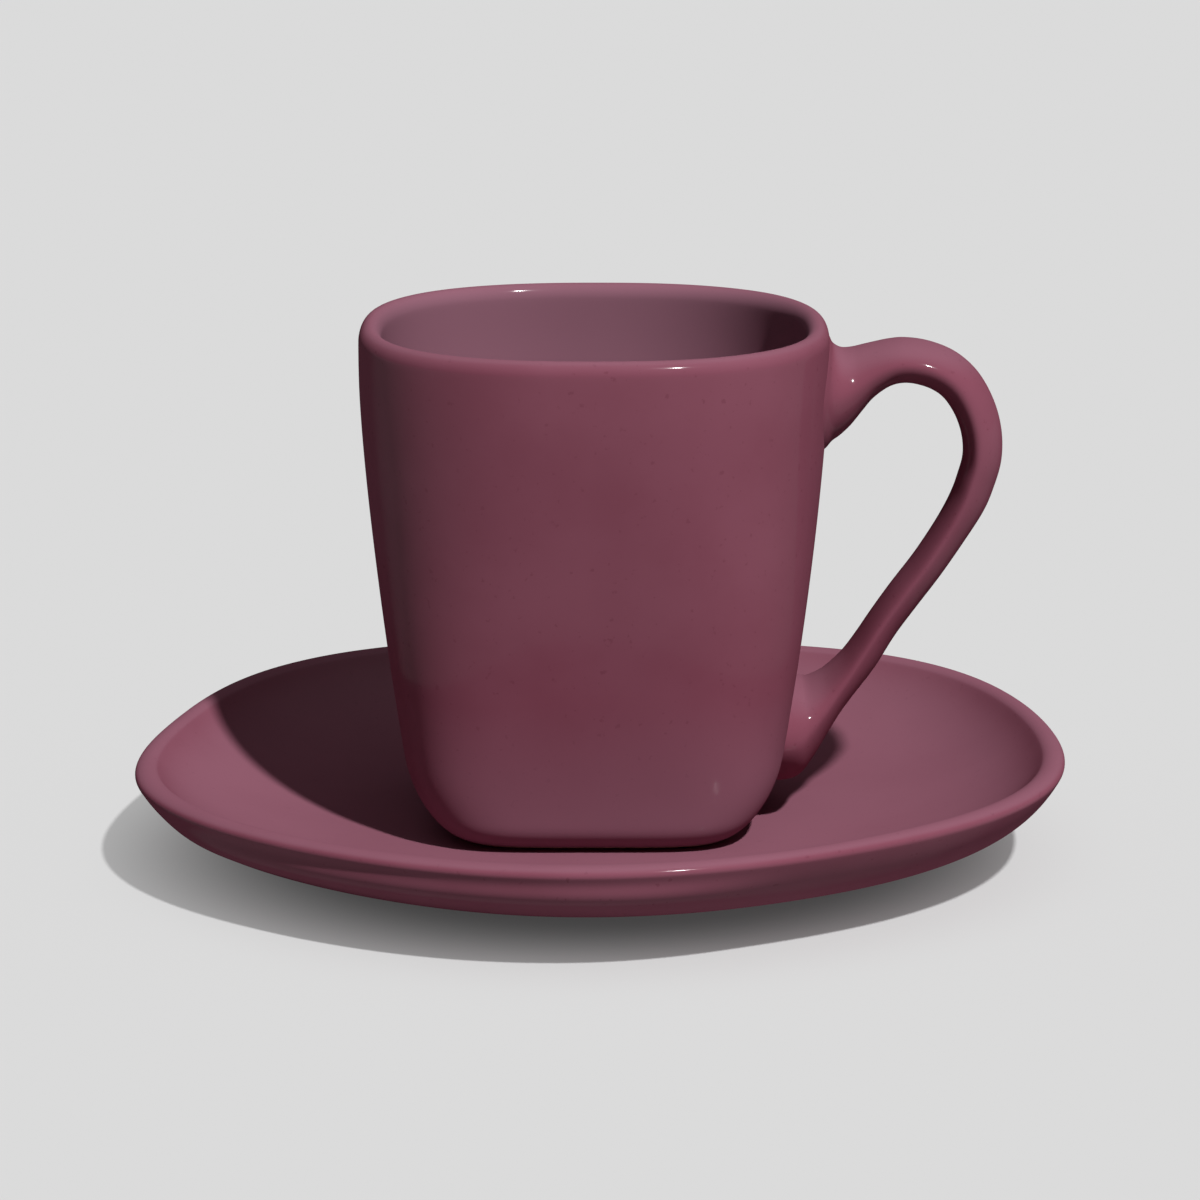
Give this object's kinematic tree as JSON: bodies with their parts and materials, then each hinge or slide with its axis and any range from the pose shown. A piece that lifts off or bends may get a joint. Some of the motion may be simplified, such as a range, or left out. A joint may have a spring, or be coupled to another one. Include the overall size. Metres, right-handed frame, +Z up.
{
  "type": "cup with saucer",
  "caption": "Soft-square glazed coffee cup with an ear handle, standing in a round hand-formed saucer with a rounded rim.",
  "frame": {"origin": "on the table, under the middle of the saucer's outline", "axes": "+Z up, +X towards the handle, -Y towards the side that the picture shows"},
  "size_m": [0.1528, 0.1572, 0.0876],
  "materials": {
    "saucer_glaze": "glossy deep red glaze",
    "cup_glaze": "glossy deep red glaze",
    "handle_glaze": "glossy deep red glaze"
  },
  "bodies": {
    "saucer": {"saucer": "saucer_glaze"},
    "cup": {"cup_body": "cup_glaze", "handle": "handle_glaze", "upper_root_pad": "handle_glaze", "lower_root_pad": "handle_glaze"}
  },
  "joints": [
    {"name": "cup_lift", "type": "slide", "parent": "saucer", "child": "cup", "axis": [0, 0, 1], "range_m": [0, 0.12]}
  ]
}
